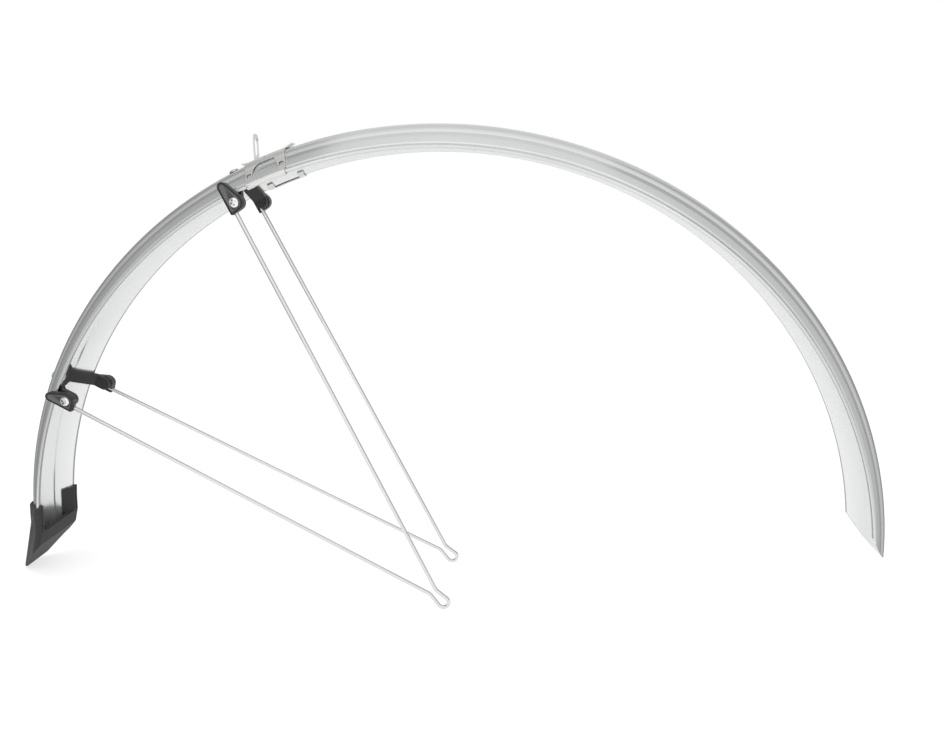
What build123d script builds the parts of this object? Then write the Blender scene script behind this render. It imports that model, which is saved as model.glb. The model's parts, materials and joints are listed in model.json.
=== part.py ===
from build123d import *
import math
import os

# Rear mudguard for a 28 inch wheel, in millimetres: +X is forward, +Y is the bicycle's left side, +Z is up.
# The pieces are drawn about the wheel's axle, and the last step moves the origin to the bridge's bolt slot.
# Wheel angles are in degrees, from straight ahead (0) over the top (90) to straight behind (180).

# Blade
edge_radius = 342.0  # axle to the blade's edges
blade_width = 46.0  # over the lips
blade_depth = 18.0  # edges to crown, outside
blade_wall = 1.4
crease_spacing = 24.0  # across the crown, from crease to crease
crease_height = 11.7  # above the edges
lip_height = 3.4
lip_step = 0.6  # how far a lip stands proud of the flank
front_tip_angle = 6.2
front_corner_angle = 11.0
front_cut_bulge = 3.0
blade_end_angle = 176.0
slot_length = 10.0
slot_width = 6.0
slot_setback = 14.0  # from the tip to the slot's middle

# Mud flap
sleeve_crown_angle = 173.2  # front of the sleeve on the crown
sleeve_edge_angle = 172.1  # front of the sleeve at the blade's edges
flap_wall = 1.9
flap_ridge = 1.3  # extra thickness along the crown
flap_fit = 0.15
flap_hook_reach = 5.5
flap_groove_width = 1.4  # groove along each fold, under the blade's edge
flap_groove_depth = 1.1
flap_tip_length = 47.0  # past the blade's end, along the crown
flap_kick_angle = 12.0  # outwards from the blade's own line
flap_corner_angle = 177.5  # where the slanted bottom face meets the sleeve's edge
flap_tip_depth = 9.0  # flat part of the tip, from outside to inside
flap_tip_rise = 3.5

# Wire stays
wire_diameter = 3.2
eye_bore = 6.0
eye_neck_gap = 3.4
eye_bend_radius = 9.0
eye_neck_length = 11.0  # eye's centre to the neck's bends
eye_spacing = 70.0
eye_forward = 6.0  # of the axle
eye_drop = 8.0  # below the axle
wire_tail = 11.5  # wire past the clamp screw, inside the cap

# Clamps
upper_clamp_inset = 5.8  # clamp screw below the blade's edges
lower_clamp_inset = 11.4
upper_clamp_angle = 116.3
lower_clamp_angle = 153.9
cap_clearance = 0.4  # between a cap and the blade's lip
grip_gap = 0.1
screw_diameter = 4.0
screw_clearance = 0.2
wire_beside_screw = 0.1
head_diameter = 7.5
head_height = 2.4
head_round = 1.6  # rounding of the head's rim
recess_size = 4.2
recess_slot = 1.1
recess_depth = 1.5
recess_taper = 12.0
nut_width = 7.0
nut_height = 2.2
nut_clearance = 0.15
thread_clearance = 0.05
screw_end_gap = 0.2

# Stay caps
cap_thickness = 5.6
cap_round_radius = 6.0
cap_point_radius = 3.5
cap_length = 23.4  # wire exit to narrow end
cap_exit_length = 6.9  # wire exit to screw
cap_side_wall = 1.3
cap_corner_radius = 0.8
cap_rim = 1.3
cap_recess = 0.9
cap_edge_radius = 0.7

# Stay brackets
bracket_wall = 3.0
bracket_fit = 0.2
pad_radius = 5.3
boss_radius = 5.1
base_length = 30.0
base_width = 17.0
rivet_diameter = 4.0
rivet_clearance = 0.1
rivet_head_diameter = 7.5
rivet_head_height = 1.3
rivet_head_round = 1.0
rivet_seat_gap = 0.05

# Sliding bridge
sheet = 1.0
slide_gap = 0.3
bridge_front_angle = 109.2
bridge_rear_angle = 114.4
claw_reach = 2.2  # claws at the bands' feet, round the blade's edges
band_width = 5.0  # sheet left in front of and behind a flank's window
window_foot = 4.4  # above the blade's edges
window_height = 9.6
window_front_lean = 2.4  # slant of the window's front side
window_rear_radius = 7.0
window_corner_radius = 1.2
band_slot_length = 3.6
band_slot_height = 2.8
band_slot_rise = 7.5  # above the blade's edges
tab_angle = 113.3
tab_width = 8.2
tab_height = 18.9  # above the crown
bolt_slot_width = 5.6
bolt_slot_length = 12.0
bolt_slot_height = 9.4  # crown to the slot's middle
tongue_width = 7.0
front_tongue_length = 6.0
rear_tongue_length = 3.5
tongue_angle = 14.0  # outwards from the crown

wire_radius = wire_diameter / 2
crown_radius = edge_radius + blade_depth
flank_foot = blade_width / 2 - lip_step
half_crease = crease_spacing / 2
upper_clamp_radius = edge_radius - upper_clamp_inset
lower_clamp_radius = edge_radius - lower_clamp_inset
clamp_wire_spacing = blade_width + 2 * (cap_clearance + grip_gap + wire_radius)
reach = blade_width  # longer than any wall is thick
margin = sheet  # overlap of helper shapes past a real face


def on_wheel(radius, angle):
    """Point in the wheel's plane at a radius and a wheel angle."""
    turn = math.radians(angle)
    return Vector(radius * math.cos(turn), 0, radius * math.sin(turn))


def across(angle):
    """Plane across the blade at a wheel angle: x to the left side, y outwards, zero height at the edges."""
    outward = on_wheel(1, angle)
    return Plane(on_wheel(edge_radius, angle), (0, 1, 0), Vector(0, 1, 0).cross(outward))


def over_crown(radius, angle):
    """Plane facing outwards at a wheel angle: x along the blade to the front, y to the left side."""
    outward = on_wheel(1, angle)
    return Plane(on_wheel(radius, angle), Vector(0, 1, 0).cross(outward), outward)


def along_blade(section, rear_angle, front_angle):
    """Turn a section about the axle from a rear wheel angle to a front one."""
    return revolve(across(rear_angle) * section, Axis.Y, rear_angle - front_angle)


def side_cut(outline):
    """Prism across the whole mudguard from an outline in the wheel's plane."""
    return extrude(Plane.XZ * make_face(outline), reach, both=True)


def heights(low, high):
    """Rectangle over the whole width between two heights above the edges."""
    return Pos(0, (low + high) / 2) * Rectangle(2 * reach, high - low)


def flank_at(height):
    """Outer half width of the flank at a height above the edges, also below them."""
    slope = (flank_foot - half_crease) / crease_height
    return flank_foot - slope * height


# Outer form of the section, filled: crown arc, flanks and a skirt that carries on below the edges.
pad_face = blade_width / 2  # outer face of a bracket's pad
skirt_width = pad_face + bracket_fit + blade_wall
skirt_top = (flank_foot - skirt_width) * crease_height / (flank_foot - half_crease)
skirt_foot = -2 * reach
crown_arc = ThreePointArc(
    (half_crease, crease_height),
    (0, blade_depth),
    (-half_crease, crease_height),
)
skirt_line = Polyline(
    (-half_crease, crease_height),
    (-skirt_width, skirt_top),
    (-skirt_width, skirt_foot),
    (skirt_width, skirt_foot),
    (skirt_width, skirt_top),
    (half_crease, crease_height),
)
outer_form = make_face(crown_arc + skirt_line)


def inner_form(depth):
    """The filled section shrunk by a depth below the blade's outer skin."""
    return offset(outer_form, -depth)


def lip(side):
    """Raised lip along one edge."""
    outline = Polyline(
        (side * (flank_foot - lip_step), 0),
        (side * (flank_foot + lip_step), 0),
        (side * (flank_foot + lip_step), lip_height / 2),
        (side * flank_at(lip_height), lip_height),
        close=True,
    )
    return make_face(outline)


above_edges = heights(0, blade_depth + margin)
filled_section = (outer_form & above_edges) + lip(1) + lip(-1)
blade_section = ((outer_form - inner_form(blade_wall)) & above_edges) + lip(1) + lip(-1)


def hooked_section(fit, wall, hook):
    """Sheet that follows the blade's outside and hooks round both edges up to a height inside."""
    sheet_form = offset(blade_section, fit + wall) - offset(blade_section, fit)
    hollow = inner_form(blade_wall / 2) & heights(hook, blade_depth + margin)
    return sheet_form - hollow


# Blade
def make_blade():
    tip = on_wheel(crown_radius + lip_step, front_tip_angle)
    corner = on_wheel(edge_radius - lip_step, front_corner_angle)
    slant = (tip - corner).normalized()
    bulge = (tip + corner) / 2 + Vector(slant.Z, 0, -slant.X) * front_cut_bulge
    past_tip = tip + slant * blade_depth
    past_corner = corner - slant * blade_depth
    arc = ThreePointArc((tip.X, tip.Z), (bulge.X, bulge.Z), (corner.X, corner.Z))
    closing = Polyline(
        (corner.X, corner.Z),
        (past_corner.X, past_corner.Z),
        (past_corner.X, -reach),
        (past_tip.X, -reach),
        (past_tip.X, past_tip.Z),
        (tip.X, tip.Z),
    )
    body = along_blade(blade_section, blade_end_angle, front_tip_angle / 2)
    slot_angle = front_tip_angle + math.degrees(slot_setback / crown_radius)
    slot = over_crown(crown_radius - blade_depth / 2, slot_angle) * SlotOverall(slot_length, slot_width)
    holes = [rivet_hole(angle) for angle in (upper_clamp_angle, lower_clamp_angle)]
    return body - [side_cut(arc + closing), extrude(slot, blade_depth), *holes]


def rivet_hole(angle):
    """Radial hole through crown and bracket base at a wheel angle."""
    hole = Rot(0, 0, 90) * Circle(rivet_diameter / 2 + rivet_clearance)
    return extrude(over_crown(crown_radius - blade_depth / 2, angle) * hole, blade_depth)


# Mud flap
def flap_crown():
    """Thick ridge of the flap over the blade's crown."""
    top = blade_depth + flap_fit + flap_wall + flap_ridge
    foot = flank_at(crease_height) + flap_wall
    arc = ThreePointArc((foot, crease_height), (0, top), (-foot, crease_height))
    ridge = make_face(arc + Line((-foot, crease_height), (foot, crease_height)))
    return ridge - offset(outer_form, flap_fit)


def flap_groove(side):
    """Groove along the fold round one edge of the blade."""
    bottom = -flap_fit - flap_wall + flap_groove_depth / 2
    return Pos(side * (flank_foot - lip_step), bottom) * Rectangle(flap_groove_width, flap_groove_depth)


def flap_sleeve_cut():
    """Slanted front of the sleeve, seen from the side."""
    crown = on_wheel(crown_radius, sleeve_crown_angle)
    edge = on_wheel(edge_radius, sleeve_edge_angle)
    slant = (crown - edge) * (reach / (crown - edge).length)
    outer = crown + slant
    inner = edge - slant
    top = outer.Z + reach
    return Polyline(
        (outer.X, outer.Z),
        (inner.X, inner.Z),
        (inner.X, top),
        (outer.X, top),
        close=True,
    )


def flap_bottom_cut(tip):
    """Flat tip and slanted bottom edge, seen from the side."""
    knee = tip + Vector(flap_tip_depth, 0, flap_tip_rise)
    corner = on_wheel(edge_radius - flap_fit - flap_wall, flap_corner_angle)
    end = corner + (corner - knee).normalized() * reach
    below = tip.Z - reach
    return Polyline(
        (tip.X - reach, below),
        (tip.X - reach, tip.Z),
        (tip.X, tip.Z),
        (knee.X, knee.Z),
        (end.X, end.Z),
        (end.X, below),
        close=True,
    )


def make_mud_flap():
    start = blade_end_angle + math.degrees(flap_fit / crown_radius)
    front = 2 * sleeve_edge_angle - sleeve_crown_angle
    hooks = hooked_section(flap_fit, flap_wall, flap_hook_reach) + flap_crown()
    hooks = hooks - flap_groove(1) - flap_groove(-1)
    sleeve = along_blade(hooks, start, front)
    tail_section = offset(filled_section, flap_fit + flap_wall) + flap_crown()
    kick = on_wheel(1, start + 90 - flap_kick_angle)
    tail = extrude(across(start) * tail_section, flap_tip_length, dir=kick)
    crown = crown_radius + flap_fit + flap_wall + flap_ridge
    tip = on_wheel(crown, start) + kick * flap_tip_length
    return sleeve + tail - [side_cut(flap_sleeve_cut()), side_cut(flap_bottom_cut(tip))]


# Stay wires, drawn in the plane of the right side's stay and mirrored for the left
eye_centre = Vector(eye_forward, 0, -eye_drop)
upper_screw = on_wheel(upper_clamp_radius, upper_clamp_angle) - eye_centre
lower_screw = on_wheel(lower_clamp_radius, lower_clamp_angle) - eye_centre
eye_axis = (upper_screw.normalized() + lower_screw.normalized()).normalized()
clamp_reach = (upper_screw.dot(eye_axis) + lower_screw.dot(eye_axis)) / 2
splay = math.atan((eye_spacing - clamp_wire_spacing) / 2 / clamp_reach)
stay_x = eye_axis * math.cos(splay) + Vector(0, math.sin(splay), 0)
stay_z = Vector(0, -math.cos(splay), 0) + eye_axis * math.sin(splay)
stay_plane = Plane(eye_centre - Vector(0, eye_spacing / 2, 0), stay_x, stay_z)


def in_stay(point):
    """Flat place, in the stay's plane, of a point given from the eye's centre."""
    across_axis = Vector(-eye_axis.Z, 0, eye_axis.X)
    return Vector(point.dot(eye_axis) / math.cos(splay), point.dot(across_axis))


def turned(vector, angle):
    return vector.rotate(Axis.Z, angle)


wire_offset = screw_diameter / 2 + wire_beside_screw + wire_radius
loop_radius = eye_bore / 2 + wire_radius
neck_half = eye_neck_gap / 2 + wire_radius
bend_across = neck_half + eye_bend_radius


class Leg:
    """One leg of a stay: its bend at the eye, its direction and the screw that it passes."""

    def __init__(self, screw, side):
        self.screw = in_stay(screw)
        self.bend = Vector(eye_neck_length, side * bend_across)
        to_screw = self.screw - self.bend
        lean = (-side * eye_bend_radius - wire_offset) / to_screw.length
        normal_angle = math.degrees(math.atan2(to_screw.Y, to_screw.X) + math.acos(lean))
        self.angle = normal_angle - 90
        normal = turned(Vector(1, 0), normal_angle)
        self.start = self.bend - normal * side * eye_bend_radius
        self.end = self.screw + normal * wire_offset + turned(Vector(1, 0), self.angle) * wire_tail
        neck_turn = math.degrees(math.acos((loop_radius + eye_bend_radius) / self.bend.length))
        neck_side = turned(self.bend.normalized(), side * neck_turn)
        self.on_loop = neck_side * loop_radius
        self.neck = self.bend - neck_side * eye_bend_radius
        middle = ((self.start - self.bend) + (self.neck - self.bend)).normalized()
        self.on_bend = self.bend + middle * eye_bend_radius


upper_leg = Leg(upper_screw, -1)
lower_leg = Leg(lower_screw, 1)


def make_right_stay():
    path = Wire(
        [
            Edge.make_line(upper_leg.end, upper_leg.start),
            Edge.make_three_point_arc(upper_leg.start, upper_leg.on_bend, upper_leg.neck),
            Edge.make_line(upper_leg.neck, upper_leg.on_loop),
            Edge.make_three_point_arc(upper_leg.on_loop, Vector(-loop_radius, 0), lower_leg.on_loop),
            Edge.make_line(lower_leg.on_loop, lower_leg.neck),
            Edge.make_three_point_arc(lower_leg.neck, lower_leg.on_bend, lower_leg.start),
            Edge.make_line(lower_leg.start, lower_leg.end),
        ]
    )
    section = Plane(upper_leg.end, z_dir=upper_leg.start - upper_leg.end) * Circle(wire_radius)
    return stay_plane * sweep(section, path)


# Clamps, drawn about the screw: x out along the wire, y to the wire's side, z out of the bicycle,
# with the wire at z = 0
seat = -wire_radius - grip_gap
cap_top = seat + cap_thickness
panel = cap_top - cap_recess
pad_depth = (clamp_wire_spacing / 2 - wire_radius - grip_gap) - pad_face + bracket_wall
pocket_depth = nut_height + 2 * nut_clearance


def at_clamp(leg, piece):
    """Set a clamp piece at the end of a leg, on the right side."""
    return stay_plane * (Pos(leg.screw.X, leg.screw.Y) * (Rot(0, 0, leg.angle) * piece))


def cap_outline():
    side = wire_offset + wire_radius + cap_side_wall
    point_along = cap_length - cap_exit_length - cap_point_radius
    corner = (-cap_exit_length + cap_corner_radius, side - cap_corner_radius)
    with BuildSketch() as outline:
        with BuildLine():
            CenterArc((0, 0), cap_round_radius, 0, 360)
            CenterArc((point_along, side - cap_point_radius), cap_point_radius, 0, 360)
            CenterArc(corner, cap_corner_radius, 0, 360)
        make_hull()
    return outline.sketch


def make_cap():
    outline = cap_outline()
    body = extrude(Pos(0, 0, seat) * outline, cap_thickness)
    body = fillet(body.faces().sort_by(Axis.Z)[-1].edges(), cap_edge_radius)
    body = body - extrude(Pos(0, 0, panel) * offset(outline, -cap_rim), cap_recess)
    body = body - extrude(Pos(0, 0, seat) * Circle(screw_diameter / 2 + screw_clearance), cap_thickness)
    groove = wire_radius + grip_gap
    groove_length = cap_exit_length + wire_tail + grip_gap
    groove_start = Pos(-cap_exit_length - grip_gap, wire_offset)
    round_part = Plane(groove_start.position, z_dir=(1, 0, 0)) * Circle(groove)
    body = body - extrude(round_part, groove_length + grip_gap)
    open_part = Pos(groove_length / 2, 0, seat / 2) * Box(groove_length + 2 * grip_gap, 2 * groove, -seat)
    return body - groove_start * open_part


def make_screw():
    length = panel - (seat - pocket_depth) - screw_end_gap
    shank = Pos(0, 0, panel - length) * extrude(Circle(screw_diameter / 2), length)
    head = Pos(0, 0, panel) * extrude(Circle(head_diameter / 2), head_height)
    head = fillet(head.edges().sort_by(Axis.Z)[-1], head_round)
    cross = Rectangle(recess_size, recess_slot) + Rectangle(recess_slot, recess_size)
    cross_cut = extrude(Pos(0, 0, panel + head_height) * cross, -recess_depth, taper=recess_taper)
    return shank + head - cross_cut


def make_nut():
    flats = RegularPolygon(nut_width / 2, 6, major_radius=False)
    ring = flats - Circle(screw_diameter / 2 + thread_clearance)
    return extrude(Pos(0, 0, seat - nut_clearance) * ring, -nut_height)


# Stay brackets
def bracket_arms(radius, angle):
    """Outline of the two arms, seen from the side: a bar from the crown with a round end about the screw."""
    outward = on_wheel(1, angle)
    end = on_wheel(radius, angle)
    bar_plane = Plane(end, outward, (0, -1, 0))
    bar = Pos(reach / 2, 0) * Rectangle(reach, 2 * pad_radius) + Circle(pad_radius)
    return extrude(bar_plane * bar, reach, both=True)


def bracket_base(angle):
    """Outline of the base, seen from the axle: a long lens along the crown."""
    lens = Ellipse(base_length / 2, base_width / 2)
    return extrude(over_crown(crown_radius - blade_depth / 2, angle) * lens, blade_depth)


def make_bracket(radius, angle, leg):
    outside = inner_form(blade_wall + bracket_fit)
    inside = inner_form(blade_wall + bracket_fit + bracket_wall)
    low = radius - edge_radius - pad_radius - margin
    band = (outside - inside) & heights(low, blade_depth)
    half_angle = math.degrees((base_length / 2 + pad_radius) / radius)
    body = along_blade(band, angle + half_angle, angle - half_angle)
    body = body & (bracket_arms(radius, angle) + bracket_base(angle))
    boss = at_clamp(leg, extrude(Pos(0, 0, seat) * Circle(boss_radius), -pad_depth + bracket_wall / 2))
    pocket_flats = RegularPolygon(nut_width / 2 + nut_clearance, 6, major_radius=False)
    pocket = at_clamp(leg, extrude(Pos(0, 0, seat) * pocket_flats, -pocket_depth))
    for flip in (False, True):
        body = body + (mirror(boss, about=Plane.XZ) if flip else boss)
    for flip in (False, True):
        body = body - (mirror(pocket, about=Plane.XZ) if flip else pocket)
    return body - rivet_hole(angle)


def make_rivet(angle):
    """Solid rivet through the crown: a low head outside and a formed head under the bracket's base."""
    outer_seat = crown_radius + rivet_seat_gap
    base_inside = crown_radius - blade_wall - bracket_fit - bracket_wall
    crown_rise = blade_depth - crease_height
    crown_curve = (half_crease**2 + crown_rise**2) / 2 / crown_rise
    base_curve = crown_curve - blade_wall - bracket_fit - bracket_wall
    head_radius = rivet_head_diameter / 2
    inner_seat = base_inside - base_curve + math.sqrt(base_curve**2 - head_radius**2) - rivet_seat_gap
    shank = extrude(over_crown(inner_seat, angle) * Circle(rivet_diameter / 2), outer_seat - inner_seat)
    outer_head = extrude(over_crown(outer_seat, angle) * Circle(head_radius), rivet_head_height)
    outwards = Axis((0, 0, 0), on_wheel(1, angle))
    outer_head = fillet(outer_head.edges().sort_by(outwards)[-1], rivet_head_round)
    inner_head = extrude(over_crown(inner_seat, angle) * Circle(head_radius), -rivet_head_height)
    return shank + outer_head + inner_head


# Sliding bridge
bridge_angle = (bridge_front_angle + bridge_rear_angle) / 2
tab_foot = on_wheel(crown_radius + slide_gap, tab_angle)
bolt_centre = tab_foot + Vector(0, 0, bolt_slot_height)


def bridge_side_plane():
    """Plane of the bridge's side view: x along the blade to the front, y outwards from the edges."""
    outward = on_wheel(1, bridge_angle)
    return Plane(on_wheel(edge_radius, bridge_angle), Vector(0, 1, 0).cross(outward), (0, -1, 0))


def flank_openings():
    """Window of a flank with the two small slots of its bands, seen from the side."""
    bridge_length = math.radians(bridge_rear_angle - bridge_front_angle) * edge_radius
    window_length = bridge_length - 2 * band_width
    window_top = window_foot + window_height
    sides = Polyline(
        (-window_length / 2, window_foot),
        (window_length / 2, window_foot),
        (window_length / 2 - window_front_lean, window_top),
        (-window_length / 2, window_top),
        close=True,
    )
    window = make_face(sides)
    window = fillet(window.vertices().sort_by(Axis.Y)[2:].sort_by(Axis.X)[0], window_rear_radius)
    window = fillet(window.vertices().sort_by(Axis.X)[-2:], window_corner_radius)
    slot_centre = (bridge_length - band_width) / 2
    slot = Pos(0, band_slot_rise) * Rectangle(band_slot_length, band_slot_height)
    return [window, Pos(-slot_centre, 0) * slot, Pos(slot_centre, 0) * slot]


def claw_gap():
    """Room between the claws of the two bands, inside the foot bars."""
    band_angle = math.degrees(band_width / edge_radius)
    inside = Pos(0, (claw_reach - slide_gap - sheet) / 2)
    room = inside * Rectangle(2 * flank_foot, claw_reach + slide_gap + sheet + 2 * margin)
    return along_blade(room, bridge_rear_angle - band_angle, bridge_front_angle + band_angle)


def make_bridge():
    section = hooked_section(slide_gap, sheet, claw_reach)
    body = along_blade(section, bridge_rear_angle, bridge_front_angle)
    cuts = [claw_gap()]
    for side in (-1, 1):
        inner_side = Pos(0, side * half_crease / 2, 0)
        for opening in flank_openings():
            cuts.append(inner_side * extrude(bridge_side_plane() * opening, -side * blade_width))
    tab_plane = Plane(bolt_centre, (0, 1, 0), (1, 0, 0))
    tab_round = tab_height - bolt_slot_height - tab_width / 2
    tab_root = -bolt_slot_height - 2 * sheet
    strip = Pos(0, (tab_round + tab_root) / 2) * Rectangle(tab_width, tab_round - tab_root)
    strip = strip + Pos(0, tab_round) * Circle(tab_width / 2)
    tab = extrude(tab_plane * strip, sheet)
    tongues = bridge_tongue(bridge_front_angle, 1, front_tongue_length)
    tongues = tongues + bridge_tongue(bridge_rear_angle, -1, rear_tongue_length)
    past = math.degrees(front_tongue_length / edge_radius)
    blade_room = offset(outer_form, slide_gap)
    keep_out = along_blade(blade_room, bridge_rear_angle + past, bridge_front_angle - past)
    bolt_slot = SlotOverall(bolt_slot_length, bolt_slot_width, rotation=90)
    cuts.append(extrude(tab_plane * bolt_slot, 2 * sheet, both=True))
    return body + (tab - keep_out) + (tongues - keep_out) - cuts


def bridge_tongue(angle, way, overhang):
    """Short lip at the crown's front or rear edge, bent up off the blade."""
    edge = over_crown(crown_radius + slide_gap, angle)
    lip_plane = edge * Rot(0, -way * tongue_angle, 0)
    length = overhang + 2 * sheet
    return lip_plane * (Pos(way * (length / 2 - 2 * sheet), 0, sheet / 2) * Box(length, tongue_width, sheet))


def save(name, piece):
    export_step(Pos(-bolt_centre.X, 0, -bolt_centre.Z) * piece, f"parts/{name}.step")


def save_both_sides(name, right_piece):
    save(f"right_{name}", right_piece)
    save(f"left_{name}", mirror(right_piece, about=Plane.XZ))


os.makedirs("parts", exist_ok=True)
save("blade", make_blade())
save("mud_flap", make_mud_flap())
save("bridge", make_bridge())
save_both_sides("stay", make_right_stay())
clamps = (
    ("upper", upper_clamp_radius, upper_clamp_angle, upper_leg),
    ("lower", lower_clamp_radius, lower_clamp_angle, lower_leg),
)
for place, radius, angle, leg in clamps:
    save(f"{place}_bracket", make_bracket(radius, angle, leg))
    save(f"{place}_bracket_rivet", make_rivet(angle))
    save_both_sides(f"{place}_stay_cap", at_clamp(leg, make_cap()))
    save_both_sides(f"{place}_clamp_screw", at_clamp(leg, make_screw()))
    save_both_sides(f"{place}_clamp_nut", at_clamp(leg, make_nut()))
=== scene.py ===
import json
import math

import bmesh
import bpy
from mathutils import Matrix, Vector


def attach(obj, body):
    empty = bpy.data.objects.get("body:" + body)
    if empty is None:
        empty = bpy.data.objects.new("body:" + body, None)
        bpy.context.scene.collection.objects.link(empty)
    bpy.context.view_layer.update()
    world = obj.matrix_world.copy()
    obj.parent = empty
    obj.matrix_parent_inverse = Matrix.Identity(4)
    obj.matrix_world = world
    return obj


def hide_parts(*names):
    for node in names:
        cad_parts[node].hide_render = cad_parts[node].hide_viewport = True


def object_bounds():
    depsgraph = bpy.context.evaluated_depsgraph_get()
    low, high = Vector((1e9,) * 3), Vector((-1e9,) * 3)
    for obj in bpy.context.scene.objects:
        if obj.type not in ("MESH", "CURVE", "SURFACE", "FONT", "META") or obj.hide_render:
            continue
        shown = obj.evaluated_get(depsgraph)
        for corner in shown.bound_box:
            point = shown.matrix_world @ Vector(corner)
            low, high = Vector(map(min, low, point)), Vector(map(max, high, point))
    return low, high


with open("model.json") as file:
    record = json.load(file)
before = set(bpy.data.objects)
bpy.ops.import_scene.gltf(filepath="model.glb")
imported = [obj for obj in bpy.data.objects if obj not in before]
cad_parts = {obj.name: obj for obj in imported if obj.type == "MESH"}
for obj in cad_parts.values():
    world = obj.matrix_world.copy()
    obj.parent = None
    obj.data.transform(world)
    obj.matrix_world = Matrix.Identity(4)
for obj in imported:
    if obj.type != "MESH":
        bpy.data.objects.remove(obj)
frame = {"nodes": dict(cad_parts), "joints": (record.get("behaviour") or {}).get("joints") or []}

bl_info = {
    "name": "Rear bicycle mudguard",
    "version": (1, 0, 0),
    "blender": (4, 5, 0),
    "location": "3D View > Sidebar > Mudguard",
    "description": "Dresses a rear mudguard with wire stays, a mud flap and a sliding bridge",
    "category": "Object",
}

CAD_BOX = [list(corner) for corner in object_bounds()]
MM = 0.001
AXLE = Vector(frame["joints"][0]["pos_m"])

SIDES = ("right", "left")
PLACES = ("upper", "lower")
CLAMPS = [(side, place) for side in SIDES for place in PLACES]
FIXED = "mudguard"
SLIDING = "sliding_bridge"
CRISP_FOLD = math.radians(38)

# Clamps on the right, in millimetres from the axle: the screw's place at wire level, and the wire's line.
CLAMP_PLACES = {"upper": (-148.961, -25.006, 301.399), "lower": (-296.888, -25.194, 145.444)}
CLAMP_LINES = {"upper": (-0.455518, 0.028952, 0.889756), "lower": (-0.897809, 0.028735, 0.439447)}
CLAMP_OUTWARD = (-0.021446, -0.999538, 0.021545)
RIVET_ANGLES = {"upper": 116.3, "lower": 153.9}


def lengths(name, description, millimetres):
    """Length property with a default in millimetres."""
    return bpy.props.FloatProperty(
        name=name, description=description, default=millimetres * MM, unit="LENGTH", precision=5
    )


def angles(name, description, degrees):
    """Angle property with a default in degrees."""
    return bpy.props.FloatProperty(
        name=name, description=description, default=math.radians(degrees), subtype="ANGLE"
    )


def tones(name, description, colour):
    """Colour property."""
    return bpy.props.FloatVectorProperty(
        name=name, description=description, default=colour, subtype="COLOR", size=3, min=0.0, max=1.0
    )


def levels(name, description, value):
    """Plain factor property."""
    return bpy.props.FloatProperty(name=name, description=description, default=value, min=0.0)


class BladeSizes(bpy.types.PropertyGroup):
    edge_radius: lengths("Edge radius", "Axle to the blade's edges", 342.0)
    width: lengths("Width", "Over the two lips", 46.0)
    depth: lengths("Depth", "Edges to crown, outside", 18.0)
    wall: lengths("Wall", "Thickness of the plastic", 1.4)
    crease_spacing: lengths("Crease spacing", "Across the crown, from crease to crease", 24.0)
    crease_height: lengths("Crease height", "Creases above the edges", 11.7)
    crease_round: lengths("Crease rounding", "Radius of the two creases", 0.8)
    crease_sink: lengths("Crease sink", "Depth of the soft groove at each crease", 0.4)
    crease_reach: lengths("Crease reach", "Width of that groove on the flank", 3.6)
    inner_sink: lengths("Inner sink", "Depth of the fine groove inside each crease", 0.35)
    line_sink: lengths("Line sink", "Depth of the fine line above each lip", 0.5)
    lip_height: lengths("Lip height", "Rolled lip along each edge", 3.4)
    lip_step: lengths("Lip step", "How far a lip stands proud of the flank", 0.6)
    rear_angle: angles("Rear end", "Wheel angle of the rear end on the crown, inside the flap", 178.8)
    rear_corner: angles("Rear corners", "Wheel angle of the rear end at the edges", 176.0)
    tip_angle: angles("Front tip", "Wheel angle of the front tip", 6.2)
    corner_angle: angles("Front corners", "Wheel angle where the edges stop", 11.0)
    cut_bulge: angles("Front bulge", "Bulge of the rounded front end", 0.5)
    slot_length: lengths("Slot length", "Front fixing slot, along the blade", 10.0)
    slot_width: lengths("Slot width", "Front fixing slot, across the blade", 6.0)
    slot_setback: lengths("Slot setback", "Tip to the slot's middle", 14.0)


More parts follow.
